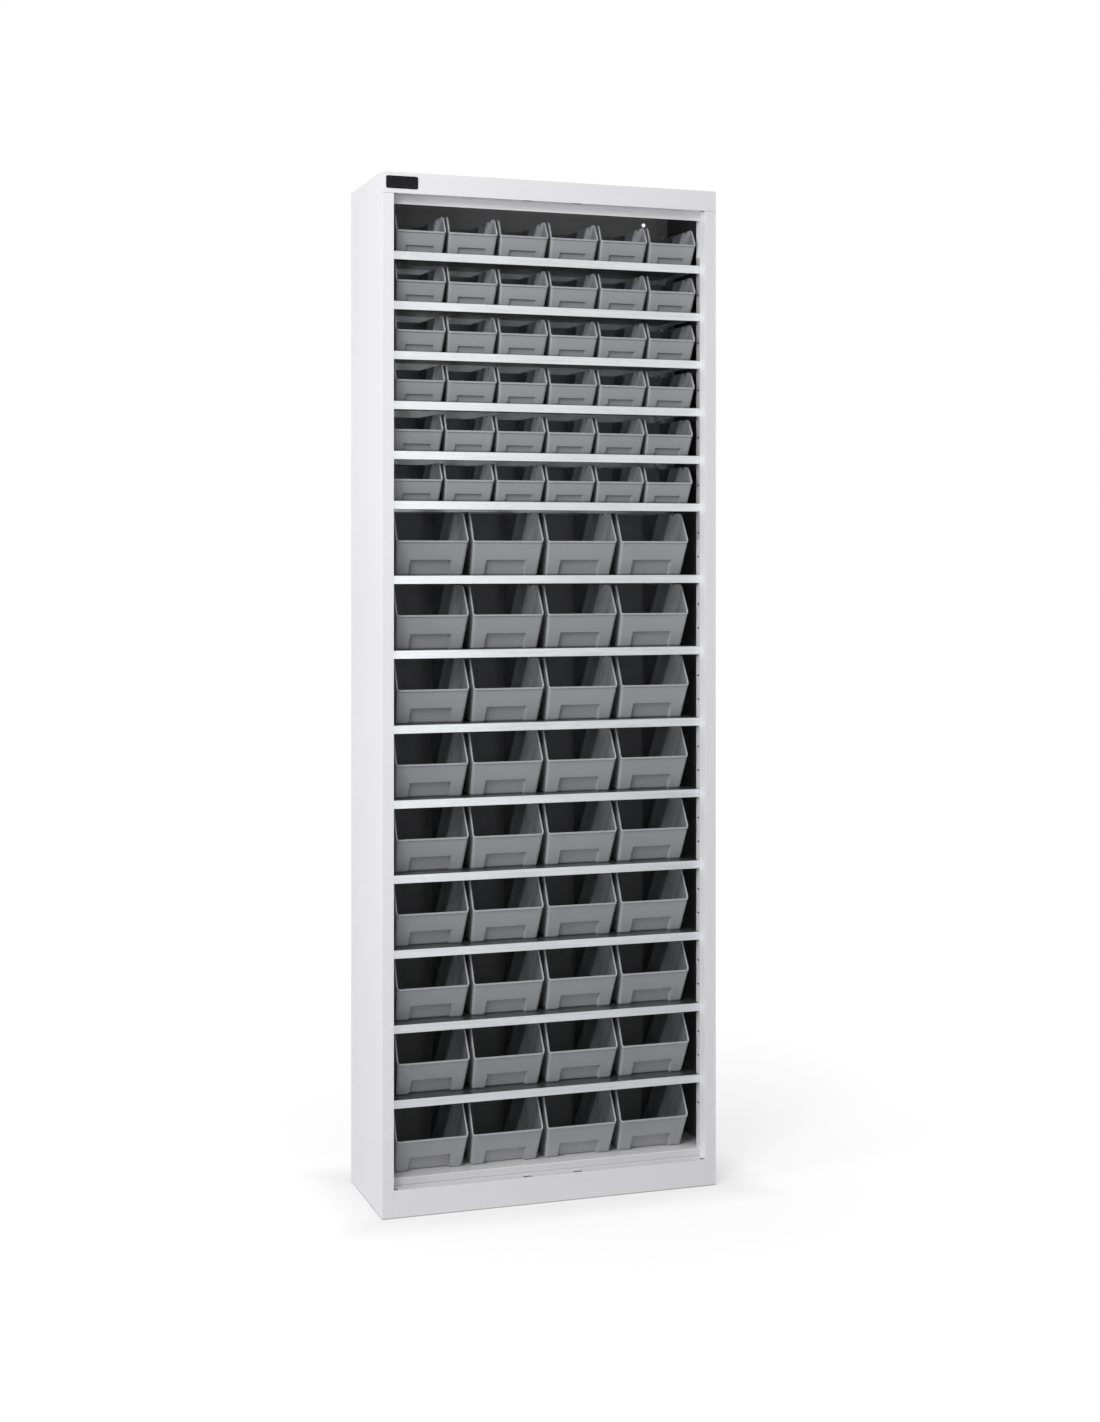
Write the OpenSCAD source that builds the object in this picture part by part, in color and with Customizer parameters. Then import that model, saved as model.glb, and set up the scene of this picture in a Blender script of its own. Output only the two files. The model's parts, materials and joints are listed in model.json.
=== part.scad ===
// Parts bin cabinet: a folded-steel cabinet with hung shelves and two sizes of open-fronted picking bin.
// Millimetres. Origin at the bottom centre, +X to the right, +Y to the back, +Z up.

/* [Cabinet] */
// Width over the side panels
cabinet_w = 690; // [640:5:760]
// Depth from the front face to the back face
cabinet_d = 260; // [245:5:320]
// Thickness of the folded steel sheet
sheet_t = 1; // [0.8:0.1:1.4]
// Width of the front flange of each side panel
flange_w = 23; // [19:1:28]
// Depth of the recess between the front face and the shelf fronts
recess_d = 28; // [24:1:34]
// Depth of the folded-in return behind each front flange
return_d = 47; // [46:1:60]
// Height of the fascia across the top
fascia_h = 40; // [36:1:60]
// Height of the lip that hangs behind the fascia
ceiling_lip_h = 16; // [12:1:24]
// Height of the plinth face
plinth_h = 54; // [40:1:80]
// Step from the top of the plinth up to the floor plate
floor_step = 14.5; // [10:0.5:24]
// Width of the inward flanges that the cabinet stands on
foot_flange_w = 18; // [12:1:24]
// Height of the rear flanges of the top and floor panels
rear_flange_h = 15; // [10:1:20]
// Depth of the slotted channel in each back corner
upright_d = 40; // [36:1:50]

/* [Openings in the sheet] */
// Radius of a wall-fixing hole in the back panel
fixing_r = 4; // [2.5:0.5:5]
// Distance between the two wall-fixing holes
fixing_spacing = 580; // [500:10:590]
// Depth of the wall-fixing holes below the top
fixing_drop = 31; // [26:1:34]
// Width of a door-fitting slot in the fascia's underside and the plinth's top
door_slot_w = 9; // [6:1:12]
// Depth from front to back of a door-fitting slot
door_slot_d = 3; // [2:0.5:4]
// Distance of the two middle door-fitting slots from the centre
door_slot_x = 52; // [30:1:80]
// Distance of each end door-fitting slot from the side return
door_slot_inset = 5; // [4:0.5:8]
// Distance of each door-fitting slot behind the front face
door_slot_y = 2; // [1.5:0.5:4]

/* [Name plate] */
// Width of the blank name plate
name_w = 63; // [40:1:80]
// Height of the blank name plate
name_h = 24; // [16:1:28]
// Thickness of the blank name plate
name_t = 1; // [0.6:0.2:2]
// Corner radius of the blank name plate
name_r = 3.5; // [2:0.5:6]
// Distance of the name plate from the left edge and from the top
name_inset = 7.5; // [6:0.5:8]

/* [Shelves] */
// Spacing of the clip slots
slot_pitch = 48.1; // [47:0.1:52]
// Floor plate to the lowest shelf
bottom_bay_h = 149.5; // [148:0.5:170]
// Top shelf to the lip behind the fascia
top_bay_h = 90.6; // [82:0.1:110]
// Height of a shelf's folded front and back edges
shelf_fold_h = 16; // [14:1:17]
// Width of the hem under a shelf's front edge
shelf_hem_w = 8; // [4:1:10]
// Height of a shelf's folded ends
shelf_end_fold_h = 10; // [8:1:12]
// Play between a shelf's end and the side return
shelf_play = 0.5; // [0.3:0.1:1]
// Gap between a shelf's back edge and the back panel
shelf_rear_gap = 1.5; // [1:0.5:4]

/* [Shelf clips] */
// Width of a clip, front to back
clip_w = 10; // [8:1:12]
// Thickness of a clip
clip_t = 2; // [1.5:0.25:3]
// Reach of a clip under the shelf
clip_reach = 9; // [6:1:12]
// Height of the clip's leg against the return
clip_leg_h = 8; // [6:1:10]
// Play of a clip in its slot, all round
clip_play = 0.5; // [0.3:0.1:1]
// Distance of the front clips' middle behind the shelf fronts
clip_inset = 9; // [8:1:10]

/* [Large bins] */
// Gap between neighbouring large bins
large_gap = 7.1; // [4:0.1:12]
// Play left at the two ends of a row of large bins
large_row_play = 34.7; // [30:0.1:60]
// Height left free above a large bin
large_headroom = 3.3; // [2:0.1:12]
// Height of a large bin's front wall
large_front_h = 68; // [55:1:80]
// Gap between a large bin and the back panel
large_rear_gap = 2; // [1:0.5:20]
// Width of the finger recess at the foot of a large bin's front
large_recess_w = 82; // [60:1:95]
// Height of the finger recess of a large bin
large_recess_h = 30; // [20:1:36]
// Depth of the finger recess of a large bin
large_recess_d = 9; // [5:0.5:12]
// Distance of a large bin's first rim notch behind its front
large_notch_y = 71; // [50:1:90]
// Distance between the two rim notches of a large bin
large_notch_spacing = 92; // [60:1:105]

/* [Small bins] */
// Gap between neighbouring small bins
small_gap = 3.8; // [2:0.1:8]
// Play left at the two ends of a row of small bins
small_row_play = 19; // [16:0.1:40]
// Height left free above a small bin
small_headroom = 5.2; // [3:0.1:12]
// Length of a small bin
small_len = 160; // [140:1:190]
// Height of a small bin's front wall
small_front_h = 42.4; // [34:0.1:50]
// Width of the finger recess at the foot of a small bin's front
small_recess_w = 55; // [40:1:65]
// Height of the finger recess of a small bin
small_recess_h = 15; // [10:1:20]
// Depth of the finger recess of a small bin
small_recess_d = 6; // [3:0.5:8]
// Distance of a small bin's first rim notch behind its front
small_notch_y = 43; // [34:1:55]
// Distance between the two rim notches of a small bin
small_notch_spacing = 70; // [40:1:75]

/* [Bin moulding] */
// Distance of the bins' rims behind the shelf fronts
bin_set_back = 4; // [2:0.5:8]
// Wall thickness
bin_wall = 2.2; // [1.8:0.1:2.8]
// Height of the thickened rim
rim_h = 3.5; // [2.5:0.1:5]
// How far the rim stands out from the wall
rim_out = 0.9; // [0.5:0.1:1.5]
// Lean of the front wall from upright, in degrees
front_lean = 17.5; // [12:0.5:22]
// Draft of the side walls below the front rim, in degrees
side_draft = 3.8; // [1:0.1:5]
// Angle by which each side wall turns in towards the back, in degrees
side_taper = 2.8; // [0.5:0.1:3.2]
// Rise of the side rims behind the front wall, in degrees
rim_rise = 58.5; // [50:0.5:70]
// Bevel under the front edge
toe_bevel = 4; // [2:0.5:5]
// Radius of the two notches in each side rim
notch_r = 5; // [3:0.5:6]
// How much wider a finger recess is at its foot, on each side
recess_flare = 2; // [0.5:0.5:4]
// Width of a divider rib
rib_w = 3; // [2:0.5:4]
// How far a divider rib stands out from the wall
rib_out = 1.4; // [1:0.1:2]
// Gap between the two ribs that hold a divider
divider_gap = 3; // [2:0.5:4]
// Distance between the divider ribs' tops and the rim
rib_drop = 16; // [12:1:24]

/* [Hidden] */
// Rows are counted from the top. Their numbers are part of the nodes' names.
SMALL_ROWS = 6;
LARGE_ROWS = 9;
ROWS = SMALL_ROWS + LARGE_ROWS;
SMALL_PER_ROW = 6;
LARGE_PER_ROW = 4;
SMALL_ROW_PITCHES = 2;
LARGE_ROW_PITCHES = 3;
SMALL_DIVIDERS = 2;
LARGE_DIVIDERS = 3;
// How far each row of loose bins stands off the cabinet's centre
ROW_SHIFT = [4, 4, 3, 2, -2, -3, -4, -4, -3, -5, -4, -4, -3, -2, -5];

STEEL = "#E3E4E5";
GALVANISED = "#C6CBCE";
PLASTIC = "#85898C";
BLACK = "#1B1C1E";

// How far a cutter reaches past the face that it cuts: past a sheet's, and past a moulded bin's
eps = 0.01;
past = 1;
half_w = cabinet_w / 2;
opening_x = half_w - flange_w;
floor_z = plinth_h + floor_step;
lowest_shelf_z = floor_z + bottom_bay_h;
top_shelf_z = shelf_z(1);
ceiling_z = top_shelf_z + top_bay_h;
fascia_z = ceiling_z + ceiling_lip_h;
cabinet_h = fascia_z + fascia_h;
back_y = cabinet_d - sheet_t;
front_y = (name_t - cabinet_d) / 2;

slot_drop = shelf_end_fold_h + clip_t / 2;
slot_w = clip_w + 2 * clip_play;
slot_h = clip_t + 2 * clip_play;
clip_front_y = recess_d + clip_inset;
clip_rear_y = back_y - upright_d / 2 - clip_play;

bin_y = recess_d + bin_set_back;
large_w = (2 * opening_x - large_row_play - (LARGE_PER_ROW - 1) * large_gap) / LARGE_PER_ROW;
large_h = LARGE_ROW_PITCHES * slot_pitch - shelf_fold_h - large_headroom;
large_len = back_y - large_rear_gap - bin_y;
small_w = (2 * opening_x - small_row_play - (SMALL_PER_ROW - 1) * small_gap) / SMALL_PER_ROW;
small_h = SMALL_ROW_PITCHES * slot_pitch - shelf_fold_h - small_headroom;

// Slot pitches from the lowest shelf up to the shelf under a row
function pitches_up(row) =
    row > SMALL_ROWS ? (ROWS - 1 - row) * LARGE_ROW_PITCHES
    : (LARGE_ROWS - 1) * LARGE_ROW_PITCHES + (SMALL_ROWS - row) * SMALL_ROW_PITCHES;

// Height of the shelf under a row. The last row stands on the floor plate.
function shelf_z(row) = row == ROWS ? floor_z : lowest_shelf_z + pitches_up(row) * slot_pitch;

function small_row_name(row) = str("small_bins_row_", row);
function large_bin_name(row, place) = str("large_bin_", row, "_", place);
function shelf_name(row) = str("shelf_", row);

// ---- Building blocks ----------------------------------------------------------------------------

// Carries what is drawn with y = 0 at the cabinet's front face to its place in the frame
module placed() {
    translate([0, front_y, 0]) children();
}

// A straight plate between two opposite corners
module plate(low, high) {
    translate(low) cube(high - low);
}

// An outline in (y, z) extruded along x, centred
module along_x(width) {
    rotate([90, 0, 90]) linear_extrude(width, center = true) children();
}

// An outline in (x, z) extruded along y
module along_y(from, to) {
    translate([0, to, 0]) rotate([90, 0, 0]) linear_extrude(to - from) children();
}

// The right-hand twin of a left-hand piece
module right_hand() {
    mirror([1, 0, 0]) children();
}

// ---- Carcass ------------------------------------------------------------------------------------

// The slots for the clips, cut through the left inner face at one distance from the front.
// There is one spare slot below the lowest shelf, and then one at every pitch up to the top shelf.
module clip_slots(middle_y) {
    for (i = [-1 : pitches_up(1)])
        translate([-opening_x, middle_y, lowest_shelf_z + i * slot_pitch - slot_drop])
            plate([-2 * sheet_t, -slot_w / 2, -slot_h / 2], [sheet_t, slot_w / 2, slot_h / 2]);
}

// Left side panel: outer wall, front flange, return and foot flange
module side_panel_left() {
    color(STEEL) placed() difference() {
        union() {
            plate([-half_w, sheet_t, 0], [-half_w + sheet_t, back_y, cabinet_h - sheet_t]);
            plate([-half_w, 0, 0], [-half_w + sheet_t, back_y, fascia_z]);
            plate([-half_w, 0, 0], [-opening_x, sheet_t, fascia_z]);
            plate([-opening_x - sheet_t, 0, 0], [-opening_x, return_d, fascia_z]);
            plate([-half_w, return_d, 0], [-half_w + foot_flange_w, back_y - sheet_t, sheet_t]);
        }
        clip_slots(clip_front_y);
    }
}

module side_panel_right() {
    right_hand() side_panel_left();
}

// The slots that a door's pins and catches would use, drawn as cutters through a level sheet
module door_slots(low_z, high_z) {
    for (x = [-opening_x + door_slot_inset, -door_slot_x, door_slot_x, opening_x - door_slot_inset])
        translate([x, door_slot_y, 0])
            plate([-door_slot_w / 2, 0, low_z], [door_slot_w / 2, door_slot_d, high_z]);
}

// Top panel: fascia, its underside, the ceiling lip, the top sheet and the rear flange
module top_panel() {
    color(STEEL) placed() difference() {
        union() {
            plate([-half_w, 0, fascia_z], [half_w, sheet_t, cabinet_h]);
            plate([-half_w + sheet_t, 0, fascia_z],
                  [half_w - sheet_t, recess_d + sheet_t, fascia_z + sheet_t]);
            plate([-opening_x, recess_d, ceiling_z], [opening_x, recess_d + sheet_t, fascia_z + sheet_t]);
            plate([-half_w, 0, cabinet_h - sheet_t], [half_w, back_y, cabinet_h]);
            plate([-half_w + sheet_t, back_y - sheet_t, cabinet_h - rear_flange_h],
                  [half_w - sheet_t, back_y, cabinet_h]);
        }
        door_slots(fascia_z - eps, fascia_z + sheet_t + eps);
    }
}

// Floor panel: plinth face, step, floor plate, foot flange and rear flange
module floor_panel() {
    color(STEEL) placed() difference() {
        union() {
            plate([-opening_x, 0, 0], [opening_x, sheet_t, plinth_h]);
            plate([-opening_x, 0, 0], [opening_x, foot_flange_w, sheet_t]);
            plate([-opening_x, 0, plinth_h - sheet_t], [opening_x, recess_d + sheet_t, plinth_h]);
            plate([-opening_x, recess_d, plinth_h - sheet_t], [opening_x, recess_d + sheet_t, floor_z]);
            plate([-opening_x, recess_d, floor_z - sheet_t], [opening_x, back_y, floor_z]);
            plate([-half_w + sheet_t, return_d, floor_z - sheet_t], [half_w - sheet_t, back_y, floor_z]);
            plate([-half_w + sheet_t, back_y - sheet_t, floor_z - rear_flange_h],
                  [half_w - sheet_t, back_y, floor_z]);
        }
        door_slots(plinth_h - sheet_t - eps, plinth_h + eps);
    }
}

// Back panel with its two wall-fixing holes
module back_panel() {
    color(STEEL) placed() difference() {
        plate([-half_w, back_y, 0], [half_w, cabinet_d, cabinet_h]);
        for (x = [-fixing_spacing / 2, fixing_spacing / 2])
            translate([x, back_y - eps, cabinet_h - fixing_drop])
                rotate([-90, 0, 0]) cylinder(h = sheet_t + 2 * eps, r = fixing_r, $fn = 48);
    }
}

// Left rear upright: a channel in the back corner, with slots in its inner leg
module rear_upright_left() {
    color(GALVANISED) placed() difference() {
        union() {
            plate([-half_w + sheet_t, back_y - upright_d, floor_z],
                  [-half_w + 2 * sheet_t, back_y, ceiling_z]);
            plate([-half_w + sheet_t, back_y - sheet_t, floor_z], [-opening_x, back_y, ceiling_z]);
            plate([-opening_x - sheet_t, back_y - upright_d, floor_z], [-opening_x, back_y, ceiling_z]);
        }
        clip_slots(clip_rear_y);
    }
}

module rear_upright_right() {
    right_hand() rear_upright_left();
}

// Blank name plate on the fascia
module name_plate() {
    inner_w = name_w - 2 * name_r;
    inner_h = name_h - 2 * name_r;
    color(BLACK) placed()
        translate([-half_w + name_inset, 0, cabinet_h - name_inset - name_h])
            along_y(-name_t, 0) translate([name_r, name_r]) {
                translate([0, -name_r]) square([inner_w, name_h]);
                translate([-name_r, 0]) square([name_w, inner_h]);
                for (x = [0, inner_w], z = [0, inner_h])
                    translate([x, z]) circle(name_r, $fn = 32);
            }
}

// ---- Shelves and their clips --------------------------------------------------------------------

// One folded shelf, its top face at the given height
module shelf(z) {
    end_x = opening_x - shelf_play;
    hem_x = end_x - clip_reach - sheet_t;
    rear_y = back_y - shelf_rear_gap;
    fold_z = -shelf_fold_h;
    color(GALVANISED) placed() translate([0, 0, z]) {
        plate([-end_x, recess_d, -sheet_t], [end_x, rear_y, 0]);
        plate([-end_x, recess_d, fold_z], [end_x, recess_d + sheet_t, 0]);
        plate([-hem_x, recess_d, fold_z], [hem_x, recess_d + shelf_hem_w, fold_z + sheet_t]);
        plate([-end_x, rear_y - sheet_t, fold_z], [end_x, rear_y, 0]);
        for (x = [-end_x, end_x - sheet_t])
            plate([x, recess_d, -shelf_end_fold_h], [x + sheet_t, rear_y, 0]);
    }
}

// One clip at the left: a ledge under the shelf, a leg down the return's face and a hook through the slot
module clip(middle_y, z) {
    hook_x = -sheet_t - clip_play - clip_t;
    color(GALVANISED) placed() translate([-opening_x, middle_y, z - shelf_end_fold_h]) {
        plate([hook_x, -clip_w / 2, -clip_t], [clip_reach, clip_w / 2, 0]);
        plate([0, -clip_w / 2, -clip_t - clip_leg_h], [clip_t, clip_w / 2, 0]);
        plate([hook_x, -clip_w / 2, -clip_t - clip_leg_h], [hook_x + clip_t, clip_w / 2, 0]);
    }
}

// Four clips under every shelf
module shelf_clips() {
    for (row = [1 : ROWS - 1], y = [clip_front_y, clip_rear_y]) {
        clip(y, shelf_z(row));
        right_hand() clip(y, shelf_z(row));
    }
}

module small_bin_shelves() {
    for (row = [1 : SMALL_ROWS]) shelf(shelf_z(row));
}

// ---- Bins ---------------------------------------------------------------------------------------

// Distance of the front wall's outer face behind the rim, at height z
function face_y(z, front_h) = rim_out + (front_h - z) * tan(front_lean);

// All that lies to the left of the right side wall, with the wall's face moved in by an inset
module left_of_wall(w, len, h, front_h, inset) {
    draft_top = front_h - rim_h / 2;
    foot = -draft_top * tan(side_draft);
    translate([w / 2 - rim_out - inset, 0, 0]) rotate([0, 0, side_taper])
        along_y(-w, 2 * len) polygon([[-2 * w, 0], [foot, 0], [0, draft_top], [0, h], [-2 * w, h]]);
}

// The room between the two side walls, which lean out below the front rim and turn in towards the back
module between_sides(w, len, h, front_h, inset) {
    intersection() {
        left_of_wall(w, len, h, front_h, inset);
        mirror([1, 0, 0]) left_of_wall(w, len, h, front_h, inset);
    }
}

// The finger recess at the foot of the front wall, grown by a margin on its sides, top and back
module finger_recess(front_h, recess_w, recess_h, recess_depth, margin) {
    half = recess_w / 2 + margin;
    foot_half = half + recess_flare;
    top = recess_h + margin;
    back = recess_depth + margin / cos(front_lean);
    corner = recess_h / 5;
    blend = corner / 3;
    intersection() {
        along_y(-past, front_h) polygon([
            [-foot_half, -past], [foot_half, -past], [half, top - corner], [half - blend, top - blend],
            [half - corner, top], [-half + corner, top], [-half + blend, top - blend], [-half, top - corner]
        ]);
        along_x(2 * foot_half) polygon([
            [-past, -past], [-past, top], [face_y(top, front_h) + back, top],
            [face_y(-past, front_h) + back, -past]
        ]);
    }
}

// One picking bin: rim front at y = 0, centred on x, standing on z = 0
module picking_bin(w, len, h, front_h, recess_w, recess_h, recess_depth, dividers, notches) {
    run = (h - front_h) / tan(rim_rise);
    toe_y = face_y(toe_bevel, front_h);
    wall_y = bin_wall / cos(front_lean);
    rim_y = rim_h * (1 / sin(rim_rise) - 1 / tan(rim_rise));
    body_side = [
        [rim_out, front_h], [toe_y, toe_bevel], [toe_y + toe_bevel, 0], [len - rim_out, 0],
        [len - rim_out, h], [rim_out + run, h]
    ];
    rim_side = [
        [0, front_h - rim_h], [0, front_h], [run, h], [len, h], [len, h - rim_h],
        [run + rim_y, h - rim_h], [rim_y, front_h - rim_h]
    ];
    cavity_side = [
        [face_y(bin_wall, front_h) + wall_y, bin_wall], [face_y(front_h, front_h) + wall_y, front_h],
        [-past, front_h], [-past, h + past],
        [len - rim_out - bin_wall, h + past], [len - rim_out - bin_wall, bin_wall]
    ];
    color(PLASTIC) difference() {
        union() {
            intersection() {
                along_x(w) polygon(body_side);
                between_sides(w, len, h, front_h, 0);
            }
            intersection() {
                along_x(w) polygon(rim_side);
                between_sides(w, len, h, front_h, -rim_out);
            }
        }
        difference() {
            intersection() {
                along_x(w) polygon(cavity_side);
                between_sides(w, len, h + past, front_h, bin_wall);
            }
            finger_recess(front_h, recess_w, recess_h, recess_depth, bin_wall);
            difference() {
                for (i = [1 : dividers], side = [-1, 1]) {
                    rib_y = run + (len - run) * i / (dividers + 1) + side * (divider_gap + rib_w) / 2;
                    plate([-w / 2, rib_y - rib_w / 2, 0], [w / 2, rib_y + rib_w / 2, h - rib_drop]);
                }
                between_sides(w, len, h, front_h, bin_wall + rib_out);
            }
        }
        finger_recess(front_h, recess_w, recess_h, recess_depth, 0);
        for (notch_y = notches)
            along_x(w + past) translate([notch_y, h]) circle(notch_r, $fn = 12);
    }
}

module small_bin() {
    picking_bin(small_w, small_len, small_h, small_front_h,
                small_recess_w, small_recess_h, small_recess_d, SMALL_DIVIDERS,
                [small_notch_y, small_notch_y + small_notch_spacing]);
}

module large_bin() {
    picking_bin(large_w, large_len, large_h, large_front_h,
                large_recess_w, large_recess_h, large_recess_d, LARGE_DIVIDERS,
                [large_notch_y, large_notch_y + large_notch_spacing]);
}

// Puts a bin in its place in a row
module in_row(row, place, per_row, pitch) {
    x = ROW_SHIFT[row - 1] + (place - (per_row + 1) / 2) * pitch;
    placed() translate([x, bin_y, shelf_z(row)]) children();
}

module small_bins_row(row) {
    for (place = [1 : SMALL_PER_ROW])
        in_row(row, place, SMALL_PER_ROW, small_w + small_gap) small_bin();
}

module large_bin_in_row(row, place) {
    in_row(row, place, LARGE_PER_ROW, large_w + large_gap) large_bin();
}

// ---- Nodes --------------------------------------------------------------------------------------

side_panel_left();
side_panel_right();
top_panel();
back_panel();
floor_panel();
rear_upright_left();
rear_upright_right();
name_plate();
shelf_clips();
small_bin_shelves();
for (row = [SMALL_ROWS + 1 : ROWS - 1])
    shelf(shelf_z(row));
for (row = [1 : SMALL_ROWS])
    small_bins_row(row);
for (row = [SMALL_ROWS + 1 : ROWS], place = [1 : LARGE_PER_ROW])
    large_bin_in_row(row, place);
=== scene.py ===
import json
import math

import bmesh
import bpy
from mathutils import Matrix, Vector

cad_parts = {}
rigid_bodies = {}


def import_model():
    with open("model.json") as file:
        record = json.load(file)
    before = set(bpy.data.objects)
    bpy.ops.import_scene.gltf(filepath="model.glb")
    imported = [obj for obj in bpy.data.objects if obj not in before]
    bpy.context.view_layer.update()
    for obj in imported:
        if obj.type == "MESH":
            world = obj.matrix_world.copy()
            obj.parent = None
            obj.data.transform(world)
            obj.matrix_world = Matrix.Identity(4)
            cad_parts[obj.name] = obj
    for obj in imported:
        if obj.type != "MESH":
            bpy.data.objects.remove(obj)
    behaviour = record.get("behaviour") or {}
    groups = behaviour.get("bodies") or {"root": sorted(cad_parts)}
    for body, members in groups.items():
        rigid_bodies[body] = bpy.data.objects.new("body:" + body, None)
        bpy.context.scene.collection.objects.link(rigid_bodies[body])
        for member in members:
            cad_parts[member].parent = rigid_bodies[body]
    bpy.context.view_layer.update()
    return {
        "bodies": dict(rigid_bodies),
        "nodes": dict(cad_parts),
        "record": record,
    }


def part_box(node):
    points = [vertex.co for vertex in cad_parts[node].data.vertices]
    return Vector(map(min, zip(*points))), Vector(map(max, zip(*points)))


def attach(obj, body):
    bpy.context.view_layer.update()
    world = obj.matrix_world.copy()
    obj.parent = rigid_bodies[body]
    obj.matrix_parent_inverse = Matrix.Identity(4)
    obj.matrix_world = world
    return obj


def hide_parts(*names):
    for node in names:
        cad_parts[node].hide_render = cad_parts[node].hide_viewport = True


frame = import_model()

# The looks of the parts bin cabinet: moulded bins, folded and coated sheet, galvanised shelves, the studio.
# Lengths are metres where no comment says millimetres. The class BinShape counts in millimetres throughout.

MM = 0.001

# ---- Sizes of the bins, in millimetres ---------------------------------------------------------------------

# As in part.scad, down to RIB_DROP, unless a comment says otherwise
SMALL_PER_ROW = 6
SMALL_GAP = 3.8

# What a bin's outer box doesn't tell. Its corners are rounded only here, by the radius "corner".
LARGE_BIN = {
    "front_h": 68.0,
    "recess_w": 82.0,
    "recess_h": 30.0,
    "recess_d": 9.0,
    "notches": (71.0, 163.0),
    "dividers": 3,
    "corner": 6.0,
}
SMALL_BIN = {
    "front_h": 42.4,
    "recess_w": 55.0,
    "recess_h": 15.0,
    "recess_d": 6.0,
    "notches": (43.0, 113.0),
    "dividers": 2,
    "corner": 5.0,
}
BIN_WALL = 2.2
RIM_H = 3.5
RIM_OUT = 0.9
# From the photo. The solids' front walls lean by 17.5 degrees.
FRONT_LEAN = math.radians(24)
SIDE_DRAFT = math.radians(3.8)
SIDE_TAPER = math.radians(2.8)
RIM_RISE = math.radians(58.5)
TOE_BEVEL = 4.0
NOTCH_R = 5.0
RIB_W = 3.0
# From the photo. The solids' divider ribs stand out by 1.4.
RIB_OUT = 0.6
DIVIDER_GAP = 3.0
RIB_DROP = 16.0

# The values from here on are only in this script, or differ from the solids'.
# The finger recess's height holds this many of its corners' radii, and five in the solids
CORNERS_IN_RECESS_H = 9
# Below FLARE_H it widens on each side by FLARE times the drop, which makes 2.1 at its foot, and about 2 there
FLARE_H = 6.0
FLARE = 0.35
# Its edges are softened over this width
RECESS_SOFT = 0.8
# A thin rib runs up the middle of the back wall's inner face, and ends BACK_RIB_DROP below the rim
BACK_RIB_HALF_W = 0.9
BACK_RIB_OUT = 0.8
BACK_RIB_DROP = 6
# The divider ribs start this far above the bin's inner floor
RIB_FOOT = 1.5
# A corner keeps at least this radius on the inside
LEAST_CORNER = 1.2
# An edge sharper than this isn't smoothed over
SHARP_ANGLE = math.radians(50)

# ---- How finely the bins' meshes are cut, in millimetres ---------------------------------------------------

# The front wall's columns beside the recess's edges, and the outer and inner rows about its upper edge
RECESS_COLUMNS = (-7, -5.5, -4, -2.6, -1.4, -0.5, 0.5, 1.4, 2.4, 3.4, 5, 9)
RECESS_OUTER_ROWS = (-9, -6.5, -5, -3.6, -2.4, -1.3, -0.5, 0.5, 1.4, 3)
RECESS_INNER_ROWS = (2.5, 1.0, 0.2, -0.8, -2, -3.4, -5, -7)
# The back wall's columns about its middle rib
BACK_RIB_COLUMNS = (-1.2, -0.6, 0.6, 1.2)
# Columns up the slope of the rim, and steps round a corner
SLOPE_COLUMNS = 10
CORNER_STEPS = 5
# Half the width over which a divider rib rises, and the least distance between two columns
RIB_SOFT = 0.4
LEAST_SPACING = 0.15
# The rows start to follow the rim this far below the front wall's rim
FOLLOW_DROP = 4.5

# ---- Painted shade and dark joints on the coated sheet -----------------------------------------------------


def mark(share, across=(0, 1), deep=(-1, 1), high=(0, 2)):
    """Ranges of the distance from the middle plane, of y and of z, and how light the place in them is."""
    return across, deep, high, share


# Painted shade darkens the hollows, which only show through slots, the folds, the foot and places in the
# shade of the bins. FASCIA_JOINT is a dark joint.
# The four ranges are of y, apart from SIDE_INNER_FACE, which is one of the distance from the middle plane.
HOLLOW_PAINTED_SHADE = 0.15
BEHIND_FRONT_SHEET = (-0.1283, 1)
BEHIND_SHELF_FRONTS = (-0.101, 1)
SIDE_INNER_FACE = (0.3215, 0.3225)
FLOOR_STEP = (-0.103, -0.1)
# Painted shade along the foot, where the sheet meets the floor
FOOT_PAINTED_SHADE = mark(0.5, high=(0, 0.0018))
FASCIA_JOINT = mark(0.7, deep=(-1, -0.1285), high=(1.9588, 1.9601))
# The slots for doors that aren't fitted, where painted shade from the hollow behind them shows: their
# distances from the middle plane, and their widths
DOOR_SLOT_X_AND_W = ((0.052, 0.018), (0.317, 0.008))
DOOR_SLOT_PAINTED_SHADE = [((x - w / 2, x + w / 2), (-0.1283, -0.1213)) for x, w in DOOR_SLOT_X_AND_W]
SIDE_JOINT_AND_PAINTED_SHADE = [
    FASCIA_JOINT,
    # Painted shade on the hollow inside the side panel, and on the side panels' inner faces behind the shelf
    # fronts
    mark(HOLLOW_PAINTED_SHADE, across=(0.3225, 0.3445), deep=(-0.129, 1)),
    mark(0.8, across=SIDE_INNER_FACE, deep=BEHIND_SHELF_FRONTS, high=(0.07, 1.3)),
    mark(0.5, across=SIDE_INNER_FACE, deep=BEHIND_SHELF_FRONTS, high=(1.3, 1.87)),
    FOOT_PAINTED_SHADE,
]
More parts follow.
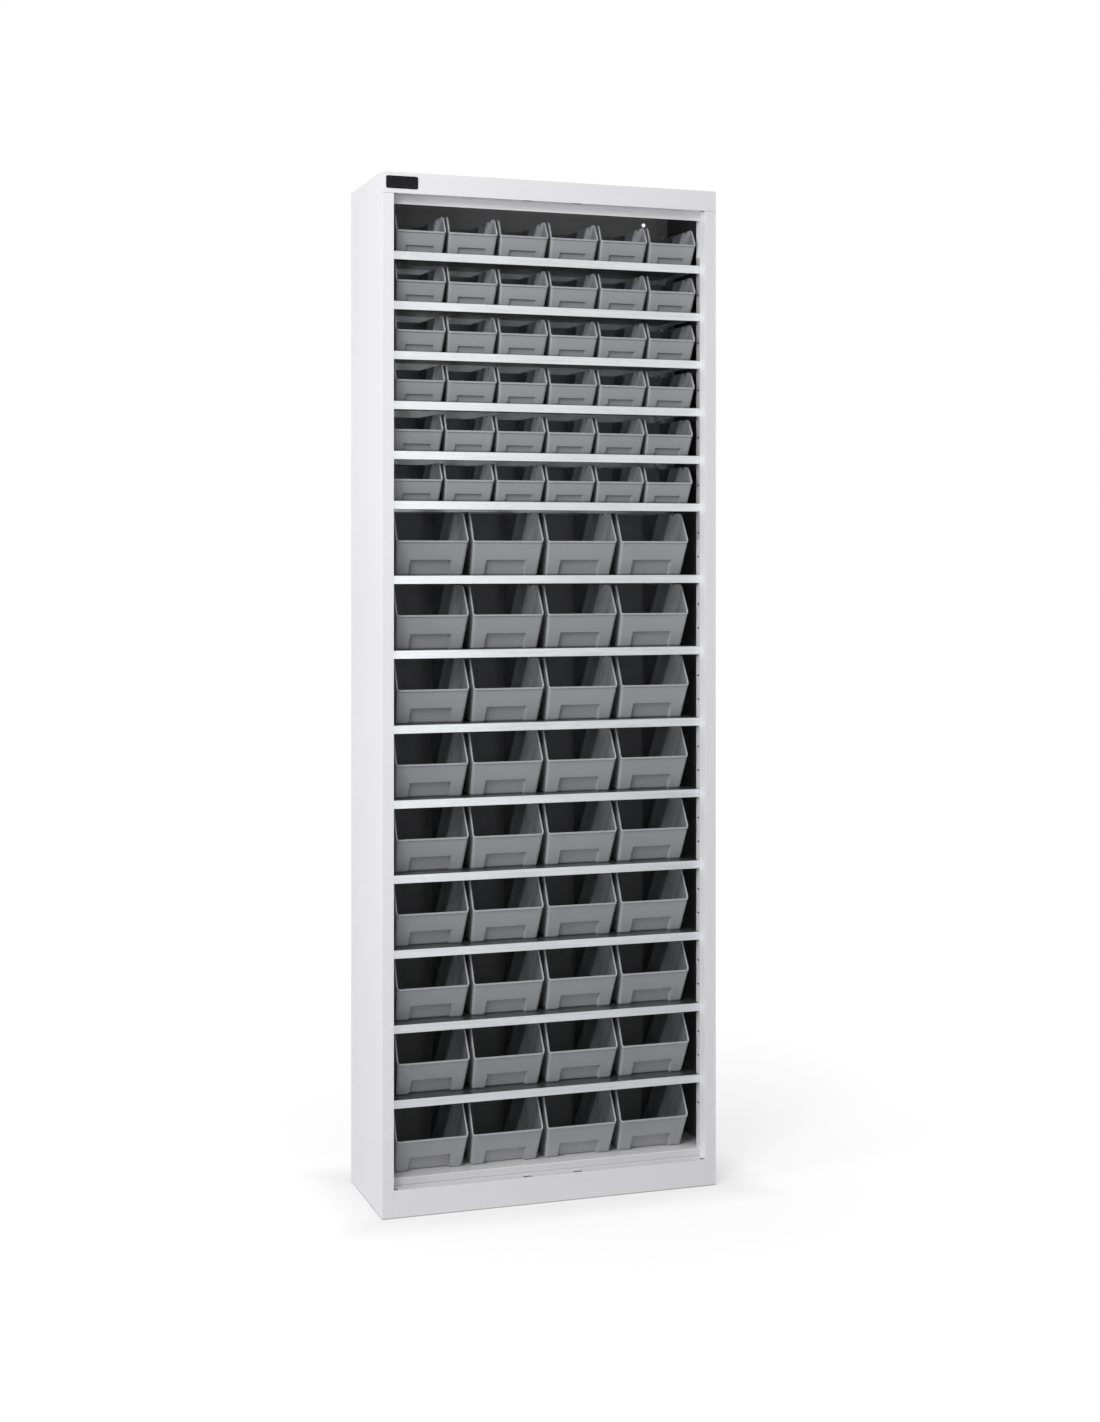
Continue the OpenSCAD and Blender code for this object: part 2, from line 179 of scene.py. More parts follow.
# Painted shade on the hollow behind the fascia and behind its door slots
FASCIA_PAINTED_SHADE = [mark(HOLLOW_PAINTED_SHADE, deep=BEHIND_FRONT_SHEET, high=(1.9608, 1.9992))]
FASCIA_PAINTED_SHADE += [mark(HOLLOW_PAINTED_SHADE, across, deep, (1.9595, 1.9605)) for across, deep in DOOR_SLOT_PAINTED_SHADE]
PLINTH_PAINTED_SHADE = [
    # Painted shade on the hollow, the ledge, its front edge, the riser behind it, the crease between them,
    # and the floor plate
    mark(HOLLOW_PAINTED_SHADE, deep=BEHIND_FRONT_SHEET, high=(0.0012, 0.0532)),
    mark(0.9, deep=(-0.1293, -0.102), high=(0.0534, 0.06)),
    mark(0.85, deep=(-0.1297, -0.1285), high=(0.0532, 0.06)),
    mark(0.77, deep=FLOOR_STEP, high=(0.054, 0.0672)),
    mark(0.8, deep=FLOOR_STEP, high=(0.054, 0.0556)),
    mark(0.86, deep=(-0.1, 1), high=(0.0678, 0.07)),
    FOOT_PAINTED_SHADE,
]
PLINTH_PAINTED_SHADE += [mark(HOLLOW_PAINTED_SHADE, across, deep, (0.0534, 0.0545)) for across, deep in DOOR_SLOT_PAINTED_SHADE]

# ---- Colours and shades ------------------------------------------------------------------------------------

COAT_COLOUR = (0.792, 0.787, 0.806)
ZINC_COLOUR = (0.8, 0.82, 0.84)
PLASTIC_COLOUR = (0.364, 0.368, 0.387)
BLACK_COLOUR = (0.012, 0.012, 0.013)

# How strong the galvanised sheet's rolling grain is, and how light the painted shade leaves its level faces
# against its folds
ZINC_GRAIN = 0.09
LEVEL_PAINTED_SHADE = 0.28

# How light a painted highlight makes the top of a bin's rim against its walls
RIM_PAINTED_HIGHLIGHT = 1.12
# How strongly a bin's outside and inside mirror their surroundings
OUTER_GLOSS = 0.4
INNER_GLOSS = 0.06
# A bin's inside has painted light and painted shade in zones from the front to the back, lighter and darker
# as the photo shows. They are points of (share of the length, how light), and slant back towards the foot by
# ZONE_SLANT of the length over the whole height. The back wall counts as lying at BACK_DEPTH.
ZONE_SLANT = 0.333
BACK_DEPTH = 1.2
PAINTED_LIGHT_ZONES = (
    (-0.2, 0.5), (0.0, 0.45), (0.06, 0.4), (0.1, 0.48), (0.14, 0.76), (0.2, 0.85), (0.28, 1.22),
    (0.37, 1.22), (0.385, 0.56), (0.46, 0.56), (0.5, 0.62), (0.55, 0.85), (0.63, 1.05), (0.645, 0.5),
    (0.7, 0.42), (0.77, 0.62), (0.86, 0.75), (1.0, 0.75), (1.1, 0.66), (BACK_DEPTH, 0.66),
)
# The bins' insides get more painted light with height: two heights, and how light they are at the first and
# the second
HIGHER_IS_PAINTED_LIGHTER = (0.35, 1.3, 1.03, 1.6)

# ---- Small helpers -----------------------------------------------------------------------------------------


def mix(a, b, t):
    """The value a share t of the way from a to b."""
    return a + (b - a) * t


def smooth_step(x, soft):
    """0 below zero, 1 above it, with a smooth change over soft."""
    t = min(max(x / soft + 0.5, 0.0), 1.0)
    return t * t * (3 - 2 * t)


def polyline(points, x):
    """The height of a polyline of (x, y) points at x, level beyond its ends."""
    if x <= points[0][0]:
        return points[0][1]
    for (x0, y0), (x1, y1) in zip(points, points[1:]):
        if x <= x1:
            return mix(y0, y1, (x - x0) / (x1 - x0))
    return points[-1][1]


# ---- The moulded bin ---------------------------------------------------------------------------------------


class BinShape:
    """The surfaces of one bin: rim front at y = 0, centred on x, standing on z = 0.

    The mesh is a net. Its columns stand at places round the plan, and its rows run from the underside up the
    outer face, over the rim and down the inner face.
    """

    def __init__(self, width, length, height, spec):
        self.width, self.length, self.height = width, length, height
        self.front_h = spec["front_h"]
        self.recess_w, self.recess_h, self.recess_d = spec["recess_w"], spec["recess_h"], spec["recess_d"]
        self.notches = spec["notches"]
        self.corner = spec["corner"]
        rise = math.tan(RIM_RISE)
        # How far the side rims slope back, from the front wall's height to the full height
        self.run = (height - self.front_h) / rise
        count = spec["dividers"]
        self.ribs = [
            self.run + (length - self.run) * i / (count + 1) + side * (DIVIDER_GAP + RIB_W) / 2
            for i in range(1, count + 1) for side in (-1, 1)
        ]
        # Where the side walls' columns begin, behind those on the slope
        self.side_start = self.run + 1
        # The side rim as (y, z): level with the front, round into the slope, and round out of it at the top
        self.rim_line = [
            (1.6, self.front_h),
            (4.0, self.front_h + 2.4 * rise * 0.8),
            (self.run - 2.5, height - 5.2),
            (self.run + 0.4, height - 1.5),
            (self.run + 4.5, height),
        ]

    def half_width(self, z):
        """Half the width over the side walls at height z."""
        return self.width / 2 - RIM_OUT - max(self.front_h - RIM_H / 2 - z, 0) * math.tan(SIDE_DRAFT)

    def turned_in(self, y):
        """How far a side wall has turned in at a distance behind the front."""
        return max(y, 0) * math.tan(SIDE_TAPER)

    def front_y(self, z):
        """The front wall's outer face at height z."""
        lean = max(self.front_h - max(z, TOE_BEVEL), 0) * math.tan(FRONT_LEAN)
        return RIM_OUT + lean + max(TOE_BEVEL - z, 0)

    def rim_z(self, y):
        """The rim's height at y, with its notches."""
        z = polyline(self.rim_line, y)
        for notch in self.notches:
            if abs(y - notch) < NOTCH_R:
                z -= math.sqrt(NOTCH_R ** 2 - (y - notch) ** 2)
        return z

    def recess(self, x, z, grow):
        """How far the finger recess, widened by grow, moves the front wall back at (x, z)."""
        half = self.recess_w / 2 + grow
        top = self.recess_h + grow
        corner = self.recess_h / CORNERS_IN_RECESS_H
        flare = max(FLARE_H - z, 0) * FLARE
        dx = abs(x) - (half + flare - corner)
        dz = z - (top - corner)
        outside = math.hypot(max(dx, 0), max(dz, 0)) + min(max(dx, dz), 0) - corner
        return self.recess_d * smooth_step(-outside, RECESS_SOFT)

    def front_columns(self):
        """The x of the front wall's columns, from the left to the right."""
        edge = self.recess_w / 2
        right = sorted({0.0, 0.8, edge * 0.33, edge * 0.66} | {edge + d for d in RECESS_COLUMNS})
        return [-x for x in reversed(right) if x > 0] + right

    def side_columns(self):
        """The y of a side wall's columns, from the front to the back."""
        places = {self.side_start, self.run + 4.5, self.run + 10, self.length - 12}
        for rib in self.ribs:
            places |= {rib + (flank + d) for flank in (-RIB_W / 2, RIB_W / 2) for d in (-RIB_SOFT, RIB_SOFT)}
        for notch in self.notches:
            places |= {notch + NOTCH_R * math.cos(math.radians(a)) for a in range(0, 181, 20)}
        kept = []
        for y in sorted(places):
            if not kept or y - kept[-1] > LEAST_SPACING:
                kept.append(y)
        return kept

    def back_columns(self):
        """The x of the back wall's columns, from the left to the right."""
        end = self.half_width(0) - self.turned_in(self.length) - self.corner - 2
        return [-end, *BACK_RIB_COLUMNS, end]

    def columns(self):
        """The places round the plan that the mesh's columns stand at, as (part, value), once round."""
        sides = self.side_columns()
        slope = [i / SLOPE_COLUMNS for i in range(SLOPE_COLUMNS)]
        turn = [i / CORNER_STEPS for i in range(1, CORNER_STEPS)]
        runs = [
            ("front", self.front_columns()),
            ("front_end", [1]),
            ("front_right", turn),
            ("slope_right", slope),
            ("right", sides),
            ("side_end_right", [1]),
            ("back_right", turn),
            ("back_start", [1]),
            ("back", [-x for x in self.back_columns()]),
            ("back_end", [1]),
            ("back_left", turn),
            ("side_end_left", [1]),
            ("left", reversed(sides)),
            ("slope_left", reversed(slope)),
            ("front_left", turn),
            ("front_start", [1]),
        ]
        return [(part, value) for part, values in runs for value in values]

    def plan(self, place, z, inset, surface):
        """The (x, y) of a column at height z, this far inside the outer face. The rim's front is upright."""
        part, value = place
        side_x = self.half_width(z) - inset
        low = self.front_y(z) + inset / math.cos(FRONT_LEAN)
        high = self.length - RIM_OUT - inset
        if surface == "rim":
            low = RIM_OUT + inset
        r = max(self.corner - inset, LEAST_CORNER)
        if part == "front":
            return value, low
        if part == "back":
            return value, high
        if part in ("right", "left", "slope_right", "slope_left"):
            y = mix(low + r, self.side_start, value) if part.startswith("slope") else value
            return math.copysign(side_x - self.turned_in(y), 1 if part.endswith("right") else -1), y
        back_x = side_x - self.turned_in(high)
        ends = {
            "front_end": (side_x - r, low), "front_start": (-side_x + r, low),
            "side_end_right": (back_x, high - r), "side_end_left": (-back_x, high - r),
            "back_start": (back_x - r, high), "back_end": (-back_x + r, high),
        }
        if part in ends:
            return ends[part]
        # A corner, turned through from one wall to the next
        sx = 1 if part.endswith("right") else -1
        sy = -1 if part.startswith("front") else 1
        starts_at_side = part in ("back_right", "front_left")
        angle = math.radians(90 * (value if starts_at_side else 1 - value))
        middle_x = (side_x if sy < 0 else back_x) - r
        middle_y = low + r if sy < 0 else high - r
        return sx * (middle_x + r * math.cos(angle)), middle_y + sy * r * math.sin(angle)

    def rows(self):
        """The rows of the mesh, as (height of a column from its rim's height, inset, surface)."""
        low = self.front_h - RIM_H - FOLLOW_DROP
        top = self.recess_h
        inner_top = top + BIN_WALL

        def level(z):
            return lambda rim: z

        def share(t, from_top):
            return lambda rim: mix(low, rim - from_top, t)

        def below(d):
            return lambda rim: rim - d

        # Round the underside's edge and up the toe
        rows = [
            (level(0), 1.8, "out"),
            (level(0.5), 0.6, "out"),
            (level(1.7), 0, "out"),
            (level(TOE_BEVEL), 0, "out"),
        ]
        rows += [(level(top + d), 0, "out") for d in RECESS_OUTER_ROWS if top + d > 5]
        rows += [(level(low), 0, "out")]
        rows += [(share(t, RIM_H + 1.0), 0, "out") for t in (0.3, 0.6, 0.85, 1)]
        # Out to the rim, up its front, over its rounded top and onto the inner face
        rows += [
            (below(RIM_H), -RIM_OUT, "rim"),
            (below(1.0), -RIM_OUT, "rim"),
            (below(0.3), 0.3 - RIM_OUT, "rim"),
            (below(0), 1.0 - RIM_OUT, "rim"),
            (below(0), BIN_WALL - 0.7, "in"),
            (below(0.25), BIN_WALL - 0.2, "in"),
            (below(0.9), BIN_WALL, "in"),
        ]
        # The first three of these stand about the divider ribs' upper ends
        drop = (RIB_DROP - 0.6) / (self.height - low)
        for t in (1 - 0.5 * drop, 1 - drop, 1 - drop - 0.8 / (self.height - low), 0.5, 0.25):
            rows.append((share(t, 0.9), BIN_WALL, "in"))
        rows += [(level(low), BIN_WALL, "in")]
        rows += [(level(inner_top + d), BIN_WALL, "in") for d in RECESS_INNER_ROWS if inner_top + d < low]
        # Round the inner floor's edge
        rows += [
            (level(BIN_WALL + 3.5), BIN_WALL, "in"),
            (level(BIN_WALL + 1.1), BIN_WALL + 0.9, "in"),
            (level(BIN_WALL), BIN_WALL + 3.5, "in"),
        ]
        return rows

    def point(self, place, row):
        """A vertex of the mesh."""
        height, inset, surface = row
        part = place[0]
        rim_y = self.plan(place, self.height, 0, "out")[1]
        z = height(self.rim_z(rim_y) if "back" not in part else self.height)
        x, y = self.plan(place, z, inset, surface)
        if part.startswith("front"):
            y += self.recess(x, z, BIN_WALL if surface == "in" else 0)
        if surface == "in" and part in ("left", "right") and BIN_WALL + RIB_FOOT < z < self.height - RIB_DROP:
            for rib in self.ribs:
                if abs(y - rib) < RIB_W / 2:
                    x -= math.copysign(RIB_OUT, x)
        on_back_rib = part == "back" and abs(x) < BACK_RIB_HALF_W and z < self.height - BACK_RIB_DROP
        if surface == "in" and on_back_rib:
            y -= BACK_RIB_OUT
        return x, y, z


def bin_mesh(name, width, length, height, spec):
    """The mesh of one bin in metres, closed, with flat walls and rounded edges.

    Its vertices say whether they lie on the rim's top and on the inside, and how deep in the bin.
    """
    shape = BinShape(width, length, height, spec)
    places, rows = shape.columns(), shape.rows()
    bm = bmesh.new()
    rim, lining, depth = (bm.verts.layers.float.new(layer) for layer in ("rim", "lining", "depth"))
    grid = [[bm.verts.new([v * MM for v in shape.point(place, row)]) for place in places] for row in rows]
    count = len(places)
    for lower, upper in zip(grid, grid[1:]):
        for i in range(count):
            j = (i + 1) % count
            bm.faces.new((lower[i], lower[j], upper[j], upper[i]))
    bm.faces.new(reversed(grid[0]))
    bm.faces.new(grid[-1])
    for line, (_, inset, surface) in zip(grid, rows):
        for vert, (part, _) in zip(line, places):
            on_top = surface != "out" and -RIM_OUT < inset < BIN_WALL
            vert[rim] = 1.0 if on_top else 0.0
            vert[lining] = 1.0 if surface == "in" and inset >= BIN_WALL else 0.0
            _, y, z = vert.co / MM
            at_back = part.startswith("back")
            vert[depth] = BACK_DEPTH if at_back else y / length - ZONE_SLANT * (1 - z / height)
    bmesh.ops.recalc_face_normals(bm, faces=bm.faces)
    for face in bm.faces:
        face.smooth = True
    mesh = bpy.data.meshes.new(name)
    bm.to_mesh(mesh)
    bm.free()
    mesh.set_sharp_from_angle(angle=SHARP_ANGLE)
    return mesh


# ---- Material helpers --------------------------------------------------------------------------------------


class Shader:
    """A Principled material and short ways to add to it."""

    def __init__(self, name):
        self.material = bpy.data.materials.new(name)
        self.material.use_nodes = True
        self.tree = self.material.node_tree
        self.bsdf = self.tree.nodes["Principled BSDF"]
        places = self.tree.nodes.new("ShaderNodeTexCoord")
        self.coords, self.facing = places.outputs["Object"], places.outputs["Normal"]

    def set(self, **values):
        """Sets the Principled node's inputs, with underscores for the blanks in their names."""
        for key, value in values.items():
            self.bsdf.inputs[key.replace("_", " ")].default_value = value

    def node(self, kind, **settings):
        """A new node of a kind."""
        made = self.tree.nodes.new("ShaderNode" + kind)
        for key, value in settings.items():
            setattr(made, key, value)
        return made

    def link(self, source, target):
        """Joins an output to an input."""
        self.tree.links.new(source, target)

    def stretched(self, x, y, z):
        """The object's coordinates in metres, stretched by a factor each way."""
        mapping = self.node("Mapping")
        self.link(self.coords, mapping.inputs["Vector"])
        mapping.inputs["Scale"].default_value = (x, y, z)
        return mapping.outputs["Vector"]

    def parts_of(self, vector):
        """The three outputs of a vector."""
        split = self.node("SeparateXYZ")
        self.link(vector, split.inputs[0])
        return split.outputs

    def noise(self, vector, scale, detail, roughness=0.55):
        """Noise from 0 to 1."""
        made = self.node("TexNoise")
        self.link(vector, made.inputs["Vector"])
        made.inputs["Scale"].default_value = scale
        made.inputs["Detail"].default_value = detail
        made.inputs["Roughness"].default_value = roughness
        return made.outputs["Fac"]

    def remap(self, value, from_low, from_high, to_low, to_high):
        """A value moved from one range to another, and kept in it."""
        made = self.node("MapRange", clamp=True)
        self.link(value, made.inputs["Value"])
        made.inputs["From Min"].default_value = from_low
        made.inputs["From Max"].default_value = from_high
        made.inputs["To Min"].default_value = to_low
        made.inputs["To Max"].default_value = to_high
        return made.outputs["Result"]

    def spread(self, noise, low, high):
        """The middle of a noise's range, where most of it lies, spread over a range of results."""
        return self.remap(noise, 0.3, 0.7, low, high)

    def curve(self, value, points):
        """Straight lines through points of (value, result)."""
        low, high = points[0][0], points[-1][0]
        top = max(result for place, result in points)
        ramp = self.node("ValToRGB")
        self.link(self.remap(value, low, high, 0, 1), ramp.inputs[0])
        elements = ramp.color_ramp.elements
        elements.remove(elements[-1])
        for i, (place, result) in enumerate(points):
            position = (place - low) / (high - low)
            element = elements[0] if i < 1 else elements.new(position)
            element.position = position
            level = result / top
            element.color = (level, level, level, 1)
        return self.math("MULTIPLY", ramp.outputs["Color"], top)

    def math(self, operation, a, b):
        """A sum, product or the like of two values, each a number or an output."""
        made = self.node("Math", operation=operation)
        for socket, value in zip(made.inputs, (a, b)):
            if isinstance(value, (int, float)):
                socket.default_value = value
            else:
                self.link(value, socket)
        return made.outputs[0]

    def inside(self, across, deep, high):
        """1 where the distance from the middle plane, y and z lie in these ranges, and 0 elsewhere."""
        x, y, z = self.parts_of(self.coords)
        inside = 1
        for value, (least, most) in ((self.math("ABSOLUTE", x, 0), across), (y, deep), (z, high)):
            inside = self.math("MULTIPLY", inside, self.math("GREATER_THAN", value, least))
            inside = self.math("MULTIPLY", inside, self.math("LESS_THAN", value, most))
        return inside

    def tinted(self, colour, factor):
        """A colour multiplied by a factor from another node."""
        made = self.node("VectorMath", operation="SCALE")
        made.inputs[0].default_value = colour
        self.link(factor, made.inputs["Scale"])
        return made.outputs["Vector"]

    def bump(self, height, distance, strength):
        """A normal that follows a height."""
        made = self.node("Bump")
        made.inputs["Distance"].default_value = distance
        made.inputs["Strength"].default_value = strength
        self.link(height, made.inputs["Height"])
        return made.outputs["Normal"]

    def surface(self, colour, shade, roughness, height=None, distance=0.0, strength=0.0):
        """Gives the Principled node its colour, roughness and bump."""
        self.link(self.tinted(colour, shade), self.bsdf.inputs["Base Color"])
        self.link(roughness, self.bsdf.inputs["Roughness"])
        if height is not None:
            self.link(self.bump(height, distance, strength), self.bsdf.inputs["Normal"])


def powder_coat(name, marks=()):
    """Light powder coat: a faint orange peel, very slight unevenness, and the painted shade and dark joints
    that the marks give.
    """
    s = Shader(name)
    cloud = s.noise(s.coords, 2.2, 2.0)
    fine = s.noise(s.coords, 520.0, 2.0)
    shade = s.math("ADD", s.spread(cloud, 0.985, 1.01), s.spread(fine, -0.008, 0.008))
    for *ranges, share in marks:
        shade = s.math("MULTIPLY", shade, s.remap(s.inside(*ranges), 0, 1, 1, share))
    s.surface(COAT_COLOUR, shade, s.spread(cloud, 0.42, 0.5), fine, 0.00012, 0.35)
    s.set(Specular_IOR_Level=0.45)
    return s.material


def galvanised(name):
    """Galvanised sheet: rolling grain along X, faint spangle and cloudy oxide.

    The level faces lie in the bins' shade, painted darker than the folds as painted shade.
    """
    s = Shader(name)
    streaks = s.noise(s.stretched(9.0, 900.0, 900.0), 1.0, 4.0, 0.6)
    fine = s.noise(s.stretched(60.0, 2600.0, 2600.0), 1.0, 2.0, 0.6)
    cloud = s.noise(s.stretched(5.0, 22.0, 22.0), 1.0, 3.0, 0.6)
    spangle = s.node("TexVoronoi", feature="F1")
    s.link(s.stretched(70.0, 110.0, 110.0), spangle.inputs["Vector"])
    spangle.inputs["Scale"].default_value = 1.0
    flake = s.node("SeparateColor")
    s.link(spangle.outputs["Color"], flake.inputs["Color"])
    lines = s.math(
        "ADD", s.spread(streaks, -ZINC_GRAIN, ZINC_GRAIN), s.spread(fine, -ZINC_GRAIN / 2, ZINC_GRAIN / 2)
    )
    patches = s.math("ADD", s.spread(cloud, 0.95, 1.04), s.remap(flake.outputs[0], 0, 1, -0.02, 0.02))
    # Painted shade on the level faces
    level = s.math("ABSOLUTE", s.parts_of(s.facing)["Z"], 0)
    shade = s.math("MULTIPLY", s.math("ADD", lines, patches), s.remap(level, 0.5, 0.95, 1, LEVEL_PAINTED_SHADE))
    roughness = s.math("ADD", s.spread(cloud, 0.29, 0.37), s.spread(streaks, -0.04, 0.04))
    s.surface(ZINC_COLOUR, shade, roughness, streaks, 0.00006, 0.5)
    s.set(Metallic=0.85)
    return s.material


def bin_plastic(name):
    """Moulded grey plastic: fine spark-eroded texture, slight flow clouds, each bin a touch different, with a
    painted highlight on the rim's top and painted light and shade inside.
    """
    s = Shader(name)
    info = s.node("ObjectInfo")
    cloud = s.noise(s.stretched(1.0, 1.0, 0.6), 14.0, 2.0)
    grain = s.noise(s.coords, 1500.0, 2.0, 0.6)
    scuffs = s.noise(s.stretched(30.0, 30.0, 260.0), 1.0, 4.0, 0.65)
    rim, lining, depth = (
        s.node("Attribute", attribute_name=layer).outputs["Fac"] for layer in ("rim", "lining", "depth")
    )
    shade = s.math("ADD", s.remap(info.outputs["Random"], 0, 1, 0.97, 1.03), s.spread(cloud, -0.03, 0.03))
    shade = s.math("ADD", shade, s.remap(scuffs, 0.62, 0.8, 0, 0.08))
    shade = s.math("ADD", shade, s.spread(grain, -0.03, 0.03))
    # Painted highlight on the rim's top; inside, painted light and shade in zones, more of it in higher rows
    shade = s.math("MULTIPLY", shade, s.remap(rim, 0, 1, 1, RIM_PAINTED_HIGHLIGHT))
    higher = s.remap(s.parts_of(info.outputs["Location"])["Z"], *HIGHER_IS_PAINTED_LIGHTER)
    zone = s.math("MULTIPLY", s.curve(depth, PAINTED_LIGHT_ZONES), higher)
    inner = s.math("ADD", s.math("MULTIPLY", s.math("SUBTRACT", zone, 1), lining), 1)
    shade = s.math("MULTIPLY", shade, inner)
    s.surface(PLASTIC_COLOUR, shade, s.spread(grain, 0.44, 0.56), grain, 0.00008, 0.4)
    s.link(s.remap(lining, 0, 1, OUTER_GLOSS, INNER_GLOSS), s.bsdf.inputs["Specular IOR Level"])
    return s.material


def black_plate(name):
    """The blank plate's black, with a faint haze."""
    s = Shader(name)
    haze = s.noise(s.coords, 90.0, 3.0)
    s.surface(BLACK_COLOUR, s.spread(haze, 0.8, 1.3), s.spread(haze, 0.22, 0.32))
    s.set(Specular_IOR_Level=0.1)
    return s.material


COAT = powder_coat("powder_coat")
COAT_OF_NODE = {
    "side_panel_left": powder_coat("powder_coat_left", SIDE_JOINT_AND_PAINTED_SHADE),
    "side_panel_right": powder_coat("powder_coat_right", SIDE_JOINT_AND_PAINTED_SHADE),
    "top_panel": powder_coat("powder_coat_top", FASCIA_PAINTED_SHADE),
    "floor_panel": powder_coat("powder_coat_floor", PLINTH_PAINTED_SHADE),
}
MATERIAL_OF_SLOT = {
    "powder_coat": COAT,
    "galvanised_steel": galvanised("galvanised_steel"),
    "bin_plastic": bin_plastic("bin_plastic"),
    "black_plate": black_plate("black_plate"),
}

# ---- The CAD nodes that keep their shape -------------------------------------------------------------------

# Points this close are joined, and edges sharper than this are rounded
WELD_WITHIN = 0.00001
ROUNDED_ANGLE = math.radians(35)
# How far the edges are rounded, in millimetres
BEVEL_OF_SLOT = {"powder_coat": 0.45, "galvanised_steel": 0.4, "black_plate": 0.35}


def finish_node(obj, material, bevel_mm):
    """Gives a CAD node its material and rounds its edges."""
    obj.data.materials.clear()
    obj.data.materials.append(material)
    weld = obj.modifiers.new("weld", "WELD")
    weld.merge_threshold = WELD_WITHIN
    bevel = obj.modifiers.new("bevel", "BEVEL")
    bevel.width = bevel_mm * MM
    bevel.segments = 2
    bevel.limit_method = "ANGLE"
    bevel.angle_limit = ROUNDED_ANGLE
    bevel.harden_normals = True


for entry in frame["record"]["subparts"]:
    slot = entry["material_slot"]
    if slot != "bin_plastic":
        material = COAT_OF_NODE.get(entry["node"], MATERIAL_OF_SLOT[slot])
        finish_node(frame["nodes"][entry["node"]], material, BEVEL_OF_SLOT[slot])

# ---- The bins ----------------------------------------------------------------------------------------------


def add_bin(name, mesh, node, body, left, front, bottom):
    """Stands one bin with its box's lowest corner at this place."""
    obj = bpy.data.objects.new(name, mesh)
    bpy.context.scene.collection.objects.link(obj)
    width = max(v.co.x for v in mesh.vertices) - min(v.co.x for v in mesh.vertices)
    obj.location = (left + width / 2, front, bottom)
    normals = obj.modifiers.new("weighted_normals", "WEIGHTED_NORMAL")
    normals.keep_sharp = True
    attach(obj, body)
    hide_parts(node)


def make_bins():
    """All the bins: one shared mesh for each of the two sizes."""
    low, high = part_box("large_bin_7_1")
    size = (high - low) / MM
    large = bin_mesh("large_bin", size.x, size.y, size.z, LARGE_BIN)
    low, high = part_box("small_bins_row_1")
    size = (high - low) / MM
    small_w = (size.x - (SMALL_PER_ROW - 1) * SMALL_GAP) / SMALL_PER_ROW
    small = bin_mesh("small_bin", small_w, size.y, size.z, SMALL_BIN)
    for mesh in (large, small):
        mesh.materials.append(MATERIAL_OF_SLOT["bin_plastic"])
    for body in sorted(frame["bodies"]):
        if body.startswith("large_bin"):
            low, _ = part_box(body)
            add_bin(body + "_moulded", large, body, body, low.x, low.y, low.z)
        elif body.startswith("small_bins"):
            low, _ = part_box(body)
            for place in range(SMALL_PER_ROW):
                left = low.x + place * (small_w + SMALL_GAP) * MM
                add_bin(f"{body}_{place + 1}", small, body, body, left, low.y, low.z)


make_bins()

# ---- The studio --------------------------------------------------------------------------------------------

# The strength of the surroundings as fill light and in reflections. The camera sees them at 1, as white.
FILL = 0.47
REFLECTED = 0.85

# Half the size of the floor, and its own grey under the lights
FLOOR_HALF_SIZE = 60
FLOOR_COLOUR = 0.45
# What the camera sees the floor glow by, at the first distance from its middle and at the second
FLOOR_GLOW = (0.61, 0.8)
FLOOR_GLOW_FROM_TO = (0.5, 2.2)
FLOOR_REFLECTED = 0.18
# Half the width and half the depth of the floor under the cabinet, which doesn't glow
FOOTPRINT = (0.344, 0.129)
# A painted contact shadow: the glow's share at the cabinet's foot, and how far out it is less than whole
CONTACT_PAINTED_SHADE = 0.72
CONTACT_REACH = 0.12

# Soft lights as (name, place, aimed at, width, height, power)
LIGHTS = [
    ("key_high", (-1.9, -2.6, 3.1), (0, 0, 1.3), 1.4, 1.2, 51),
    ("key_middle", (-2.3, -2.6, 1.7), (0, 0, 1.0), 0.9, 1.6, 15),
    ("left", (-3.2, -0.9, 1.25), (-0.3, 0, 0.8), 1.2, 2.2, 43),
    ("right_behind", (3.2, 1.0, 1.4), (0.3, 0, 1.0), 1.2, 2.0, 16),
    ("above", (-0.2, -1.3, 3.6), (0, -0.2, 1.0), 1.4, 1.0, 2),
    ("sheen", (0.45, -3.9, 0.95), (-0.3, 0, 0.95), 0.3, 1.9, 7),
]

# The photo's camera, solved from the cabinet's edges: level, turned to see the left side, and shifted down
CAMERA_PLACE = (-1.2993, -3.9502, 1.2592)
CAMERA_LOOKS_ALONG = (0.3203, 0.9473, 0)
SENSOR_WIDTH = 36
LENS = 52.13
SHIFT_Y = -0.1065


def make_world():
    """White where the camera looks, and weaker in reflections and as fill light."""
    world = bpy.data.worlds.new("studio")
    bpy.context.scene.world = world
    world.use_nodes = True
    tree = world.node_tree
    background = tree.nodes["Background"]
    background.inputs["Color"].default_value = (1, 1, 1, 1)
    path = tree.nodes.new("ShaderNodeLightPath")
    strength = None
    for ray, reached in (("Is Glossy Ray", REFLECTED), ("Is Camera Ray", 1.0)):
        blend = tree.nodes.new("ShaderNodeMapRange")
        blend.inputs["To Min"].default_value = FILL
        blend.inputs["To Max"].default_value = reached
        tree.links.new(path.outputs[ray], blend.inputs["Value"])
        if strength:
            tree.links.new(strength, blend.inputs["To Min"])
        strength = blend.outputs["Result"]
    tree.links.new(strength, background.inputs["Strength"])


